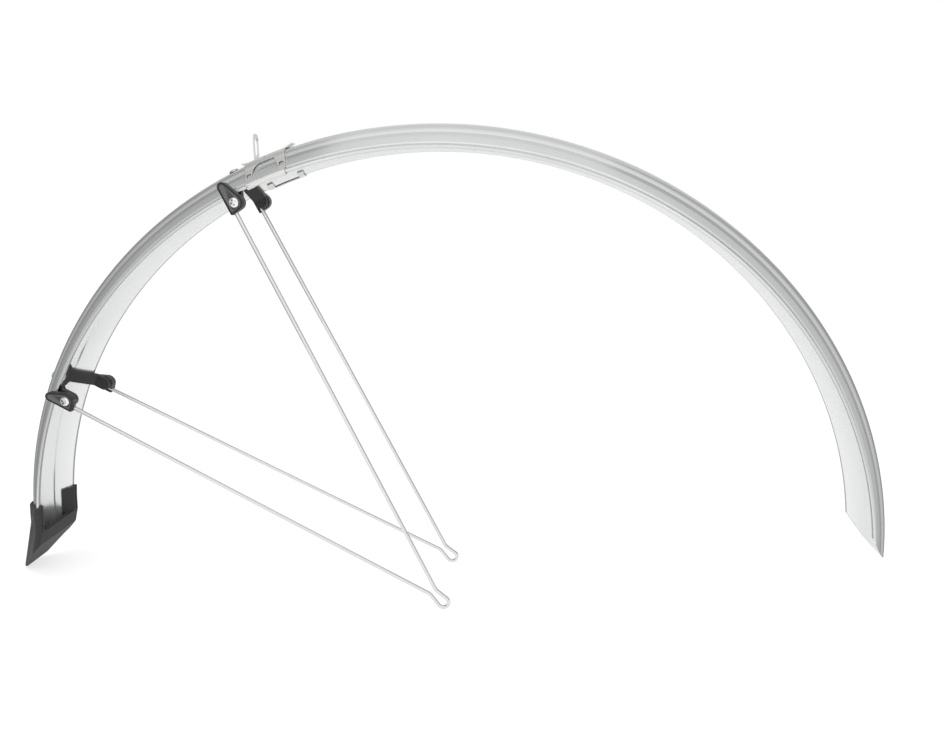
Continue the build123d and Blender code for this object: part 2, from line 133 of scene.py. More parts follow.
class ClampSizes(bpy.types.PropertyGroup):
    wire_diameter: lengths("Wire", "Diameter of the stay wire", 3.2)
    wire_beside: lengths("Wire offset", "Screw to wire, centre to centre", 3.7)
    wire_tail: lengths("Wire tail", "Wire past the screw, inside the cap", 11.5)
    cap_seat: lengths("Cap seat", "Underside of the cap, from the wire's centre", -1.7)
    cap_thickness: lengths("Cap thickness", "Whole thickness of a cap", 5.6)
    cap_recess: lengths("Cap recess", "Depth of the sunk panel", 0.9)
    cap_rim: lengths("Cap rim", "Width of the rim round the panel", 1.3)
    cap_edge: lengths("Cap edge", "Rounding of the outer edge", 0.7)
    cap_exit: lengths("Cap exit", "Screw to the end where the wire leaves", 6.9)
    cap_side: lengths("Cap side", "Screw to the straight side beside the wire", 6.6)
    cap_length: lengths("Cap length", "Wire exit to narrow end", 23.4)
    round_radius: lengths("Round end", "Radius about the screw", 6.0)
    point_radius: lengths("Narrow end", "Radius of the narrow end", 3.5)
    corner_radius: lengths("Exit corner", "Radius of the corner beside the wire", 0.8)
    screw_bore: lengths("Screw bore", "Hole for the screw", 4.4)
    screw_diameter: lengths("Screw", "Shank diameter", 4.0)
    screw_length: lengths("Screw length", "Shank below the head", 7.0)
    head_diameter: lengths("Head", "Diameter of the screw's head", 7.5)
    head_height: lengths("Head height", "Height of the screw's head", 2.4)
    head_round: lengths("Head rounding", "Rounding of the head's rim", 1.6)
    recess_size: lengths("Cross size", "Length of the cross recess", 4.6)
    recess_slot: lengths("Cross slot", "Width of the cross recess", 1.4)
    recess_depth: lengths("Cross depth", "Depth of the cross recess", 1.5)
    rivet_seat: lengths("Rivet seat", "Axle to the underside of a rivet's outer head", 360.05)
    rivet_grip: lengths("Rivet grip", "Length between a rivet's two heads", 5.43)
    rivet_diameter: lengths("Rivet", "Shank diameter of a rivet", 4.0)
    rivet_head: lengths("Rivet head", "Diameter of a rivet's heads", 7.5)
    rivet_height: lengths("Rivet height", "Height of a rivet's heads", 1.3)
    rivet_round: lengths("Rivet rounding", "Rounding of a rivet's outer head", 1.0)


class FinishColours(bpy.types.PropertyGroup):
    silver: tones("Silver plastic", "Blade", (0.73, 0.735, 0.74))
    # Painted bounce light: the blade's inside is given this paler silver than its outside.
    inner: tones("Inner silver", "Paler inside of the blade", (0.93, 0.935, 0.94))
    black: tones("Black plastic", "Stay brackets", (0.026, 0.026, 0.027))
    cap: tones("Cap plastic", "Stay caps", (0.010, 0.010, 0.011))
    panel: tones("Cap panel", "Sunk panel of the stay caps", (0.19, 0.19, 0.193))
    rubber: tones("Black rubber", "Mud flap", (0.052, 0.052, 0.053))
    steel: tones("Stay steel", "Wire stays", (0.74, 0.74, 0.735))
    sheet: tones("Bridge steel", "Plated sheet of the bridge", (0.80, 0.80, 0.79))
    screw: tones("Screw steel", "Clamp screws and nuts", (0.88, 0.88, 0.87))
    rivet: tones("Rivet aluminium", "Bracket rivets", (0.66, 0.665, 0.67))


class StageLevels(bpy.types.PropertyGroup):
    key_power: levels("Key light", "Power of the large overhead light, in watts", 5.0)
    fill_power: levels("Fill light", "Power of the front light, in watts", 4.0)
    ambient: levels("Ambient", "Strength of the soft light from all round", 0.75)
    floor_glow: levels("Floor glow", "Added white of the floor, seen by the camera and by metal", 0.68)
    card_tone: levels("Cards", "Strength of the grey cards on both sides and overhead", 1.0)
    focal_length: levels("Focal length", "Camera lens in millimetres, on a 36 mm wide sensor", 25.01)


# Nodes


def feed(tree, socket, value):
    """Link another node's output to an input, or set the input to a plain value."""
    if isinstance(value, bpy.types.NodeSocket):
        tree.links.new(value, socket)
    else:
        socket.default_value = value


def add_node(tree, kind, **values):
    """First output of a new node. Small names are settings, and capital ones are inputs (_ is a space)."""
    node = tree.nodes.new(kind)
    for name, value in values.items():
        if name[0].islower():
            setattr(node, name, value)
        else:
            feed(tree, node.inputs[name.replace("_", " ")], value)
    return node.outputs[0]


def calc(tree, operation, *operands, clamp=False):
    """Result of a sum on outputs or plain numbers."""
    result = add_node(tree, "ShaderNodeMath", operation=operation, use_clamp=clamp)
    for socket, value in zip(result.node.inputs, operands):
        feed(tree, socket, value)
    return result


def times(tree, *factors, clamp=False):
    return calc(tree, "MULTIPLY", *factors, clamp=clamp)


def between(tree, share, low, high):
    """Value between two others, by a share from 0 to 1."""
    return add_node(tree, "ShaderNodeMapRange", Value=share, To_Min=low, To_Max=high)


def split(tree, vector):
    """The three parts of a vector."""
    return add_node(tree, "ShaderNodeSeparateXYZ", Vector=vector).node.outputs


def joined(tree, **parts):
    """Vector from its parts."""
    return add_node(tree, "ShaderNodeCombineXYZ", **parts)


def new_tree(kind, name, **inputs):
    """Node tree and its inputs (_ is a space), each given by its default number or else by its kind."""
    tree = bpy.data.node_groups.new(name, kind)
    for label, given in inputs.items():
        sort = {float: "Float", int: "Int"}.get(type(given), given)
        label = label.replace("_", " ")
        socket = tree.interface.new_socket(label, in_out="INPUT", socket_type="NodeSocket" + sort)
        if sort != given:
            socket.default_value = given
    return tree, tree.nodes.new("NodeGroupInput").outputs


def put_out(tree, sort, **values):
    """Named outputs of a node tree."""
    for label in values:
        tree.interface.new_socket(label, in_out="OUTPUT", socket_type="NodeSocket" + sort)
    leave = tree.nodes.new("NodeGroupOutput")
    for label, value in values.items():
        tree.links.new(value, leave.inputs[label])


# Effects that several finishes share

RUB_GAIN = 6.0
BEND_GAIN = 9.0
HOLLOW_START = 0.48


def own_place(tree):
    """Place on the piece, in its own coordinates."""
    return tree.nodes.new("ShaderNodeTexCoord").outputs["Object"]


def noise(tree, vector, scale, detail=3.0, roughness=0.5):
    """Noise read at a vector."""
    fineness = {"Scale": scale, "Detail": detail, "Roughness": roughness}
    return add_node(tree, "ShaderNodeTexNoise", Vector=vector, **fineness)


def moulded_grain():
    """Fine leathery grain of moulded plastic and rubber, with slow uneven gloss."""
    group, value = new_tree("ShaderNodeTree", "Moulded grain", Grain_scale=900.0, Mottle_scale=40.0)
    place = own_place(group)
    scale = value["Grain scale"]
    cells = add_node(group, "ShaderNodeTexVoronoi", feature="SMOOTH_F1", Vector=place, Scale=scale)
    fine = noise(group, place, times(group, scale, 2.3), 2.0)
    mottle = noise(group, place, value["Mottle scale"], 4.0, 0.6)
    put_out(
        group,
        "Float",
        Height=calc(group, "MULTIPLY_ADD", fine, 0.5, cells),
        Gloss=calc(group, "MULTIPLY_ADD", mottle, 0.7, times(group, fine, 0.3)),
        Mottle=mottle,
    )


def running_streaks():
    """Fine streaks that run round the wheel, as extrusion and rolling leave them."""
    group, value = new_tree("ShaderNodeTree", "Running streaks", Across_scale=900.0, Along_scale=6.0)
    place = own_place(group)
    centred = add_node(group, "ShaderNodeVectorMath", operation="SUBTRACT", Vector=place)
    centred.node.inputs[1].default_value = AXLE
    x, y, z = split(group, centred)
    turn = calc(group, "ARCTAN2", z, x)
    squares = calc(group, "ADD", calc(group, "POWER", x, 2.0), calc(group, "POWER", z, 2.0))
    radius = calc(group, "SQRT", squares)
    lanes = joined(
        group,
        X=times(group, turn, value["Along scale"]),
        Y=times(group, y, value["Across scale"]),
        Z=times(group, radius, value["Across scale"]),
    )
    put_out(
        group,
        "Float",
        Streak=noise(group, lanes, 1.0, 4.0, 0.6),
        Cloud=noise(group, place, 22.0, 3.0, 0.55),
    )


def handling_marks_and_painted_light():
    """Sparse faint rub marks; convex edges, used for wear with a painted highlight on plastic and for
    painted shade on the bridge sheet; and hollows, used for painted shade.
    """
    group, value = new_tree(
        "ShaderNodeTree", "Handling marks and painted light", Mark_scale=120.0, Coverage=0.35, Edge_start=0.54
    )
    patches = noise(group, own_place(group), value["Mark scale"], 6.0, 0.7)
    marks = calc(group, "SUBTRACT", patches, calc(group, "SUBTRACT", 1.0, value["Coverage"]))
    bend = group.nodes.new("ShaderNodeNewGeometry").outputs["Pointiness"]
    past_edge = calc(group, "SUBTRACT", bend, value["Edge start"])
    edges = times(group, past_edge, BEND_GAIN, clamp=True)
    below_hollow = calc(group, "SUBTRACT", HOLLOW_START, bend)
    put_out(
        group,
        "Float",
        # Edges serve wear with a painted highlight on plastic and painted shade on the bridge sheet; Hollows
        # serve painted shade in recesses.
        Marks=times(group, marks, RUB_GAIN, clamp=True),
        Edges=times(group, edges, calc(group, "ADD", patches, 0.4), clamp=True),
        Hollows=times(group, below_hollow, BEND_GAIN, clamp=True),
    )


# Finishes

# Painted shade on the end faces of the blade's lips, as a share of the silver.
LIP_PAINTED_SHADE = 0.42
# Painted shade on metal edges and hollows, as a share of the metal's colour.
METAL_PAINTED_SHADE = 0.15


def effect(tree, name, **values):
    """Outputs of a shared effect, placed in a material with its own values."""
    return add_node(tree, "ShaderNodeGroup", node_tree=bpy.data.node_groups[name], **values).node.outputs


def blank_material(name, **values):
    """Material, its tree and its shader's inputs, some set to plain values (_ is a space)."""
    made = bpy.data.materials.new(name)
    made.use_nodes = True
    shader = made.node_tree.nodes["Principled BSDF"].inputs
    for label, value in values.items():
        shader[label.replace("_", " ")].default_value = value
    return made, made.node_tree, shader


def marked(tree, name):
    """Mask from a mark on the mesh."""
    return add_node(tree, "ShaderNodeAttribute", attribute_name=name).node.outputs["Fac"]


def shade(colour, gain):
    """Darker or lighter shade of a colour."""
    return [min(1.0, channel * gain) for channel in colour] + [1.0]


def paint(tree, shader, mask, first, second):
    """Set the shader's colour between two others by a mask."""
    blend = tree.nodes.new("ShaderNodeMix")
    blend.data_type = "RGBA"
    tree.links.new(mask, blend.inputs["Factor"])
    corners = [socket for socket in blend.inputs if socket.type == "RGBA"]
    for socket, colour in zip(corners, (first, second)):
        feed(tree, socket, colour)
    mixed = next(socket for socket in blend.outputs if socket.type == "RGBA")
    tree.links.new(mixed, shader["Base Color"])


def tint(tree, shader, mask, colour, low, high):
    """Vary the shader's colour between a darker and a lighter shade of one colour."""
    paint(tree, shader, mask, shade(colour, low), shade(colour, high))


def lay_over(tree, shader, mask, colour):
    """Blend the shader's colour towards another colour where a mask is set."""
    paint(tree, shader, mask, shader["Base Color"].links[0].from_socket, (*colour[:3], 1.0))


def roughen(tree, shader, mask, low, high):
    """Vary the shader's roughness by a mask."""
    tree.links.new(between(tree, mask, low, high), shader["Roughness"])


def raise_bumps(tree, shader, height, distance, strength):
    """Feed a height into the shader's normal."""
    bumps = add_node(tree, "ShaderNodeBump", Strength=strength, Distance=distance, Height=height)
    tree.links.new(bumps, shader["Normal"])


def silver_plastic(colour, inner):
    """Silver blade with fine streaks; paler inside by painted bounce light, less so under the crown as
    painted shade in the gutter, and painted shade on the ends of its lips.
    """
    _, tree, shader = blank_material("silver plastic", Metallic=0.7, Coat_Weight=0.2, Coat_Roughness=0.12)
    streaks = effect(tree, "Running streaks", Across_scale=420.0, Along_scale=4.0)
    blend = calc(tree, "MULTIPLY_ADD", streaks["Streak"], 0.35, streaks["Cloud"])
    tint(tree, shader, blend, colour, 0.94, 1.05)
    # Painted bounce light: the inside made paler, nearly fully by the feet and half under the crown, which
    # leaves painted shade in the gutter.
    lay_over(tree, shader, marked(tree, "inside"), inner)
    # Painted shade: the lips' end faces darkened.
    lay_over(tree, shader, marked(tree, "lip"), shade(colour, LIP_PAINTED_SHADE))
    roughen(tree, shader, streaks["Streak"], 0.22, 0.29)
    raise_bumps(tree, shader, streaks["Streak"], 0.00003, 0.06)


def grained_plastic(name, colour, worn_and_highlit_edge, scale, rough, depth, sheen):
    """Moulded plastic or rubber whose convex edges are paler, as wear and a painted highlight; gives its
    tree and shader.
    """
    _, tree, shader = blank_material(name, Specular_IOR_Level=sheen)
    grain = effect(tree, "Moulded grain", Grain_scale=scale, Mottle_scale=45.0)
    marks = effect(tree, "Handling marks and painted light", Mark_scale=160.0, Coverage=0.30, Edge_start=0.512)
    tint(tree, shader, grain["Mottle"], colour, 0.75, 1.3)
    # Wear and painted highlight: convex edges made paler.
    lay_over(tree, shader, marks["Edges"], worn_and_highlit_edge)
    roughen(tree, shader, grain["Gloss"], rough - 0.08, rough + 0.08)
    raise_bumps(tree, shader, grain["Height"], depth, 0.6)
    return tree, shader


def bright_metal(name, colour, rough, across, along, bump, metallic=1.0, painted_shade_mask=None):
    """Drawn, rolled or turned metal; the last argument names the mask along which shade is painted on it:
    edges or hollows.
    """
    _, tree, shader = blank_material(name, Metallic=metallic)
    streaks = effect(tree, "Running streaks", Across_scale=across, Along_scale=along)
    marks = effect(tree, "Handling marks and painted light", Mark_scale=220.0, Coverage=0.36, Edge_start=0.515)
    rubbed = calc(tree, "SUBTRACT", streaks["Streak"], times(tree, marks["Marks"], 0.3))
    tint(tree, shader, rubbed, colour, 0.86, 1.10)
    # Painted shade along the named mask.
    if painted_shade_mask:
        lay_over(tree, shader, marks[painted_shade_mask], shade(colour, METAL_PAINTED_SHADE))
    roughen(tree, shader, streaks["Streak"], rough - 0.05, rough + 0.08)
    raise_bumps(tree, shader, streaks["Streak"], bump, 0.4)


def make_finishes(colours):
    for make_effect in (moulded_grain, running_streaks, handling_marks_and_painted_light):
        make_effect()
    silver_plastic(colours.silver, colours.inner)
    # Pale grey for the edges of plastic and rubber: wear and a painted highlight.
    worn_and_highlit_edge = colours.panel
    firm = {"scale": 1100.0, "rough": 0.42, "depth": 0.00005, "sheen": 0.40}
    supple = {"scale": 800.0, "rough": 0.58, "depth": 0.00006, "sheen": 0.22}
    satin = {"scale": 1300.0, "rough": 0.40, "depth": 0.00004, "sheen": 0.26}
    grained_plastic("black plastic", colours.black, worn_and_highlit_edge, **firm)
    grained_plastic("black rubber", colours.rubber, worn_and_highlit_edge, **supple)
    tree, shader = grained_plastic("cap plastic", colours.cap, worn_and_highlit_edge, **satin)
    lay_over(tree, shader, marked(tree, "panel"), colours.panel)
    drawn = {"across": 1500.0, "along": 30.0, "bump": 0.00002}
    rolled = {"across": 1200.0, "along": 40.0, "bump": 0.00003, "metallic": 0.72}
    turned = {"across": 2500.0, "along": 300.0}
    bright_metal("stay steel", colours.steel, rough=0.20, **drawn)
    # Painted shade along the bridge sheet's edges and in the screws' hollows.
    bright_metal("bridge steel", colours.sheet, rough=0.36, painted_shade_mask="Edges", **rolled)
    bright_metal("screw steel", colours.screw, rough=0.22, bump=0.00002, painted_shade_mask="Hollows", **turned)
    bright_metal("rivet aluminium", colours.rivet, rough=0.30, bump=0.00003, **turned)


def finish_named(name):
    if name not in bpy.data.materials:
        make_finishes(bpy.context.scene.mudguard_colours)
    return bpy.data.materials[name]


def dress_node(node, finish):
    """Give a carried-over node its finish."""
    for slot in frame["nodes"][node].material_slots:
        slot.material = finish_named(finish)


# Objects


def new_object(name, data):
    item = bpy.data.objects.new(name, data)
    bpy.context.scene.collection.objects.link(item)
    return item


def drawn_mesh(name, points, edges=(), faces=()):
    mesh = bpy.data.meshes.new(name)
    mesh.from_pydata(points, edges, faces)
    return mesh


def shell_mesh(name, shell):
    """Mesh of a finished shell; the shell goes."""
    mesh = bpy.data.meshes.new(name)
    shell.to_mesh(mesh)
    shell.free()
    return mesh


def bridge_rings(shell, rings):
    """Skin a row of rings and close both ends."""
    count = len(rings[0])
    for low, high in zip(rings, rings[1:]):
        for index in range(count):
            after = (index + 1) % count
            shell.faces.new((low[index], low[after], high[after], high[index]))
    shell.faces.new(rings[0][::-1])
    shell.faces.new(rings[-1])
    bmesh.ops.recalc_face_normals(shell, faces=shell.faces)


def cut_away(seed, tool, self_crossing=False):
    """Take a tool's shape out of a seed object."""
    cut = seed.modifiers.new("cut", "BOOLEAN")
    cut.object = tool
    cut.operation = "DIFFERENCE"
    cut.solver = "EXACT"
    cut.use_self = self_crossing


def settled(name, seed):
    """Plain object from a seed object's modifiers; the seed goes."""
    graph = bpy.context.evaluated_depsgraph_get()
    plain = bpy.data.meshes.new_from_object(seed.evaluated_get(graph))
    if not plain.polygons:
        raise RuntimeError(f"{name} came out empty")
    plain.name = name
    seed.modifiers.clear()
    bpy.data.objects.remove(seed)
    return new_object(name, plain)


def cover(piece, finish):
    """One finish and smooth shading all over a piece."""
    piece.data.materials.clear()
    piece.data.materials.append(finish_named(finish))
    for polygon in piece.data.polygons:
        polygon.use_smooth = True
        polygon.material_index = 0


def grow(name, mesh, tree, values):
    """Plain object from a geometry tree on a mesh, with the tree's inputs set by identifier."""
    seed = new_object(name + " seed", mesh)
    modifier = seed.modifiers.new("shape", "NODES")
    modifier.node_group = tree
    keys = {item.name: item.identifier for item in tree.interface.items_tree if item.in_out == "INPUT"}
    for label, value in values.items():
        modifier[keys[label]] = value
    return settled(name, seed)


def softened(node, name, finish, voxel, passes, share_left, pocket=None):
    """Copy of a carried-over node with its edges rounded: cut, remeshed, smoothed and thinned."""
    shell = bmesh.new()
    shell.from_mesh(frame["nodes"][node].data)
    bmesh.ops.remove_doubles(shell, verts=shell.verts, dist=1e-6)
    seed = new_object(name + " seed", shell_mesh(name, shell))
    if pocket:
        cut_away(seed, pocket)
    even = seed.modifiers.new("even", "REMESH")
    even.mode = "VOXEL"
    even.voxel_size = voxel
    soft = seed.modifiers.new("soft", "SMOOTH")
    soft.factor = 0.5
    soft.iterations = passes
    thin = seed.modifiers.new("thin", "DECIMATE")
    thin.ratio = share_left
    piece = settled(name, seed)
    cover(piece, finish)
    return piece


def stand_for(piece, body, slot, *nodes):
    """Set a piece on its body, in the place of carried-over nodes; the slot is not used."""
    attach(piece, body)
    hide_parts(*nodes)


# Geometry trees


def swept(tree, section, count, capped):
    """Section carried along a straight path of length 1: the mesh, and the places of its points."""
    line = add_node(tree, "GeometryNodeCurvePrimitiveLine", End=(0, 0, 1))
    path = add_node(tree, "GeometryNodeResampleCurve", Curve=line, Count=count)
    outline = add_node(tree, "GeometryNodeMeshToCurve", Mesh=section)
    mesh = add_node(tree, "GeometryNodeCurveToMesh", Curve=path, Profile_Curve=outline, Fill_Caps=capped)
    return mesh, split(tree, add_node(tree, "GeometryNodeInputPosition"))


def difference(tree, body, *tools):
    """Body less its tools."""
    cut = add_node(tree, "GeometryNodeMeshBoolean", operation="DIFFERENCE", solver="EXACT", Mesh_1=body)
    for tool in tools:
        tree.links.new(tool, cut.node.inputs["Mesh 2"])
    return cut


def cast(tree, operation, radius, turn):
    """Radius times the sine or cosine of a turn."""
    return times(tree, radius, calc(tree, operation, turn))


def end_tree(tree, shape, finish):
    """Last nodes of a geometry tree: smooth faces with crisp folds, made real and given a finish."""
    smooth = add_node(tree, "GeometryNodeSetShadeSmooth", domain="FACE", Geometry=shape)
    hard = calc(tree, "GREATER_THAN", add_node(tree, "GeometryNodeInputMeshEdgeAngle"), CRISP_FOLD)
    edges = {"domain": "EDGE", "Selection": hard, "Shade Smooth": False}
    crisp = add_node(tree, "GeometryNodeSetShadeSmooth", Geometry=smooth, **edges)
    real = add_node(tree, "GeometryNodeRealizeInstances", Geometry=crisp)
    painted = add_node(tree, "GeometryNodeSetMaterial", Geometry=real, Material=finish)
    put_out(tree, "Geometry", Geometry=painted)
    return tree


def blade_tree():
    """Sweeps the section round the wheel, slants and rounds the front end and cuts the fixing slot."""
    tree, value = new_tree(
        "GeometryNodeTree",
        "Mudguard blade",
        **{"Section": "Geometry", "Edge radius": 0.342, "Depth": 0.018, "Rings": 240, "Finish": "Material"},
        **{"Rear angle": 3.0, "Rear corner": 3.0, "Tip angle": 0.1, "Corner angle": 0.2, "Cut bulge": 0.0},
        **{"Slot length": 0.01, "Slot width": 0.006, "Slot setback": 0.014},
    )
    strip, (across, up, along) = swept(tree, value["Section"], value["Rings"], True)
    rise = calc(tree, "DIVIDE", up, value["Depth"], clamp=True)
    hump = times(tree, times(tree, rise, calc(tree, "SUBTRACT", 1.0, rise)), 4.0)
    front = between(tree, rise, value["Corner angle"], value["Tip angle"])
    front = calc(tree, "SUBTRACT", front, times(tree, hump, value["Cut bulge"]))
    rear = between(tree, rise, value["Rear corner"], value["Rear angle"])
    turn = between(tree, along, rear, front)
    radius = calc(tree, "ADD", up, value["Edge radius"])
    bent = joined(tree, X=cast(tree, "COSINE", radius, turn), Y=across, Z=cast(tree, "SINE", radius, turn))
    blade = add_node(tree, "GeometryNodeSetPosition", Geometry=strip, Position=bent)

    crown = calc(tree, "ADD", value["Edge radius"], value["Depth"])
    half = times(tree, calc(tree, "SUBTRACT", value["Slot length"], value["Slot width"]), 0.5)
    start, end = (joined(tree, X=times(tree, half, way)) for way in (-1.0, 1.0))
    spine = add_node(tree, "GeometryNodeCurvePrimitiveLine", Start=start, End=end)
    slot_radius = times(tree, value["Slot width"], 0.5)
    drum = add_node(tree, "GeometryNodeMeshCylinder", Vertices=32, Radius=slot_radius, Depth=value["Depth"])
    ends = add_node(tree, "GeometryNodeInstanceOnPoints", Points=spine, Instance=drum)
    drums = add_node(tree, "GeometryNodeRealizeInstances", Geometry=ends)
    plug = add_node(tree, "GeometryNodeConvexHull", Geometry=drums)
    slot_turn = calc(tree, "ADD", value["Tip angle"], calc(tree, "DIVIDE", value["Slot setback"], crown))
    slot_x, slot_z = (cast(tree, operation, crown, slot_turn) for operation in ("COSINE", "SINE"))
    slot_place = joined(tree, X=slot_x, Z=slot_z)
    lean = joined(tree, Y=calc(tree, "SUBTRACT", math.pi / 2, slot_turn))
    cutter = add_node(tree, "GeometryNodeTransform", Geometry=plug, Translation=slot_place, Rotation=lean)
    slotted = difference(tree, blade, cutter)
    moved = add_node(tree, "GeometryNodeTransform", Geometry=slotted, Translation=tuple(AXLE))
    return end_tree(tree, moved, value["Finish"])


def fastener_tree():
    """Turns an outline about its axis, sinks a cross into the head and sets a copy on every seat."""
    tree, value = new_tree(
        "GeometryNodeTree",
        "Turned fasteners",
        **{"Seats": "Geometry", "Outline": "Object", "Segments": 49, "Finish": "Material"},
        **{"Head height": 0.0024, "Cross size": 0.0042, "Cross slot": 0.0011, "Cross depth": 0.0},
    )
    outline = add_node(tree, "GeometryNodeObjectInfo", Object=value["Outline"]).node.outputs["Geometry"]
    strip, (radius, height, share) = swept(tree, outline, value["Segments"], False)
    turn = times(tree, share, 2 * math.pi)
    turned_place = joined(
        tree, X=cast(tree, "COSINE", radius, turn), Y=cast(tree, "SINE", radius, turn), Z=height
    )
    turned = add_node(tree, "GeometryNodeSetPosition", Geometry=strip, Position=turned_place)
    closed = add_node(tree, "GeometryNodeMergeByDistance", Geometry=turned, Distance=2e-6)

    lift = joined(tree, Z=value["Head height"])
    deep = times(tree, value["Cross depth"], 2.0)
    size, slot = value["Cross size"], value["Cross slot"]
    bars = []
    for length, width in ((size, slot), (slot, size)):
        bar = add_node(tree, "GeometryNodeMeshCube", Size=joined(tree, X=length, Y=width, Z=deep))
        bars.append(add_node(tree, "GeometryNodeTransform", Geometry=bar, Translation=lift))
    wanted = add_node(
        tree,
        "GeometryNodeSwitch",
        input_type="GEOMETRY",
        Switch=calc(tree, "GREATER_THAN", value["Cross depth"], 0.0),
        **{"False": closed, "True": difference(tree, closed, *bars)},
    )
    turns = add_node(tree, "GeometryNodeInputNamedAttribute", data_type="FLOAT_VECTOR", Name="turn")
    placed = add_node(
        tree, "GeometryNodeInstanceOnPoints", Points=value["Seats"], Instance=wanted, Rotation=turns
    )
    return end_tree(tree, placed, value["Finish"])


# Blade

BLADE_INPUTS = (
    *("edge_radius", "depth", "rear_angle", "rear_corner", "tip_angle", "corner_angle", "cut_bulge"),
    *("slot_length", "slot_width", "slot_setback"),
)
BLADE_RINGS = 260
STRAIGHT = math.radians(179)
SIDE_SHARE = 0.45
LIP_PAINTED_SHADE_HEIGHT = 0.04 * MM
FLANK_BOUNCE_LIGHT = 0.95
# Share of painted bounce light inside: nearly full by the lips' feet, half under the crown as painted shade
# in the gutter.
CROWN_BOUNCE_LIGHT = 0.5


def rounded(points, radii, marks, steps=6):
    """Closed outline with an arc at each corner; each point keeps its corner's mark."""
    outline = []
    count = len(points)
    for index, (point, radius, mark) in enumerate(zip(points, radii, marks)):
        corner = Vector(point)
        back = Vector(points[index - 1]) - corner
        ahead = Vector(points[(index + 1) % count]) - corner
        bend = back.angle(ahead)
        if radius <= 0 or bend > STRAIGHT:
            outline.append((corner, mark))
            continue
        setback = radius / math.tan(bend / 2)
        setback = min(setback, SIDE_SHARE * back.length, SIDE_SHARE * ahead.length)
        start = corner + back.normalized() * setback
        finish = corner + ahead.normalized() * setback
        for step in range(steps + 1):
            share = step / steps
            point = start * (1 - share) ** 2 + corner * 2 * share * (1 - share) + finish * share**2
            outline.append((point, mark))
    return outline


def blade_profile(sizes):
    """Closed section of the blade: across the bicycle and up from the edges."""
    crease = sizes.crease_spacing / 2
    rise = sizes.depth - sizes.crease_height
    crown = (crease**2 + rise**2) / (2 * rise)
    foot = sizes.width / 2 - sizes.lip_step
    slope = (foot - crease) / sizes.crease_height
    tilt = math.hypot(1, slope)

    def crown_point(share, radius):
        half = math.asin(crease / crown)
        turn = half * share
        return (radius * math.sin(turn), sizes.depth - crown + radius * math.cos(turn))

    def flank_point(height, sunk=0.0):
        return (foot - slope * height - sunk / tilt, height - sunk * slope / tilt)

    lip_shoulder = sizes.lip_height * 0.55
    lip_top = sizes.lip_height - 0.2 * MM
    lip_swell = 0.12 * MM
    line = sizes.lip_height + 0.4 * MM
    line_reach = 0.7 * MM
    edge = [
        (sizes.width / 2, 0),
        (sizes.width / 2, lip_shoulder),
        flank_point(lip_top, -lip_swell),
        flank_point(line, sizes.line_sink),
        flank_point(line + line_reach),
        flank_point(sizes.crease_height - sizes.crease_reach / tilt),
        flank_point(sizes.crease_height, sizes.crease_sink),
    ]
    edge_radii = [0.35 * MM, 0.5 * MM, 0.25 * MM, 0.15 * MM, 0.4 * MM, 3.0 * MM, sizes.crease_round]
    inside_foot = foot - sizes.wall * tilt
    steps = 12
    top = [crown_point(1 - 2 * step / steps, crown) for step in range(1, steps)]
    outside = edge + top + [(-across, up) for across, up in reversed(edge)]
    radii = edge_radii + [0] * len(top) + edge_radii[::-1]
    across, up = crown_point(1, crown - sizes.wall)
    groove_reach = 0.8
    outwards, upwards = 0.62, 0.78
    groove = [
        (inside_foot, 0),
        (across + slope * groove_reach * MM, up - groove_reach * MM),
        (across + outwards * sizes.inner_sink, up + upwards * sizes.inner_sink),
    ]
    groove_radii = [0.3 * MM, 0.3 * MM, 0.2 * MM]
    inside = [(-across, up) for across, up in groove]
    inside += [crown_point(-1 + 2 * step / steps, crown - sizes.wall) for step in range(1, steps)]
    inside += groove[::-1]
    radii += groove_radii + [0] * (steps - 1) + groove_radii[::-1]
    # Marks of painted bounce light: none outside, nearly full at the inner feet, half from the inner creases
    # across the crown.
    marks = [0.0] * len(outside) + [FLANK_BOUNCE_LIGHT] + [CROWN_BOUNCE_LIGHT] * (len(inside) - 2) + [FLANK_BOUNCE_LIGHT]
    return rounded(outside + inside, radii, marks)


def section_mesh(name, outline):
    """Closed loop of edges in the XY plane, marked for the finish: painted bounce light on its inside, and
    painted shade on its lips' ends.
    """
    count = len(outline)
    loop = [(index, (index + 1) % count) for index in range(count)]
    mesh = drawn_mesh(name, [(*point, 0) for point, _ in outline], loop)
    # The inside mark carries painted bounce light; the lip mark carries painted shade.
    for label in ("inside", "lip"):
        mesh.attributes.new(label, "FLOAT", "POINT")
    for index, (point, mark) in enumerate(outline):
        mesh.attributes["inside"].data[index].value = mark
        # Points at the edges carry the lip mark for painted shade.
        mesh.attributes["lip"].data[index].value = 1.0 if point[1] < LIP_PAINTED_SHADE_HEIGHT else 0.0
    return mesh


def flap_pocket(sizes):
    """Room in the flap for the blade's end: wheel angle, then half widths and heights above the edges."""
    crown = ((12.1, 10.2), (11.6, 11.3), (6.0, 15.8), (0.0, 17.3))
    inside = ((15.2, 2.2), (13.0, 5.9), (15.3, 6.5), *crown)
    deep = ((12.9, 8.2), (12.8, 8.4), (12.7, 8.6), *crown)
    shell = bmesh.new()
    rings = []
    for degrees, half in ((175.85, inside), (177.3, inside), (178.9, deep)):
        turn = math.radians(degrees)
        ring = []
        for across, up in (*half, *((-across, up) for across, up in reversed(half[:-1]))):
            radius = sizes.edge_radius + up * MM
            place = Vector((radius * math.cos(turn), across * MM, radius * math.sin(turn)))
            ring.append(shell.verts.new(AXLE + place))
        rings.append(ring)
    bridge_rings(shell, rings)
    return new_object("flap pocket", shell_mesh("flap pocket", shell))


# Clamps


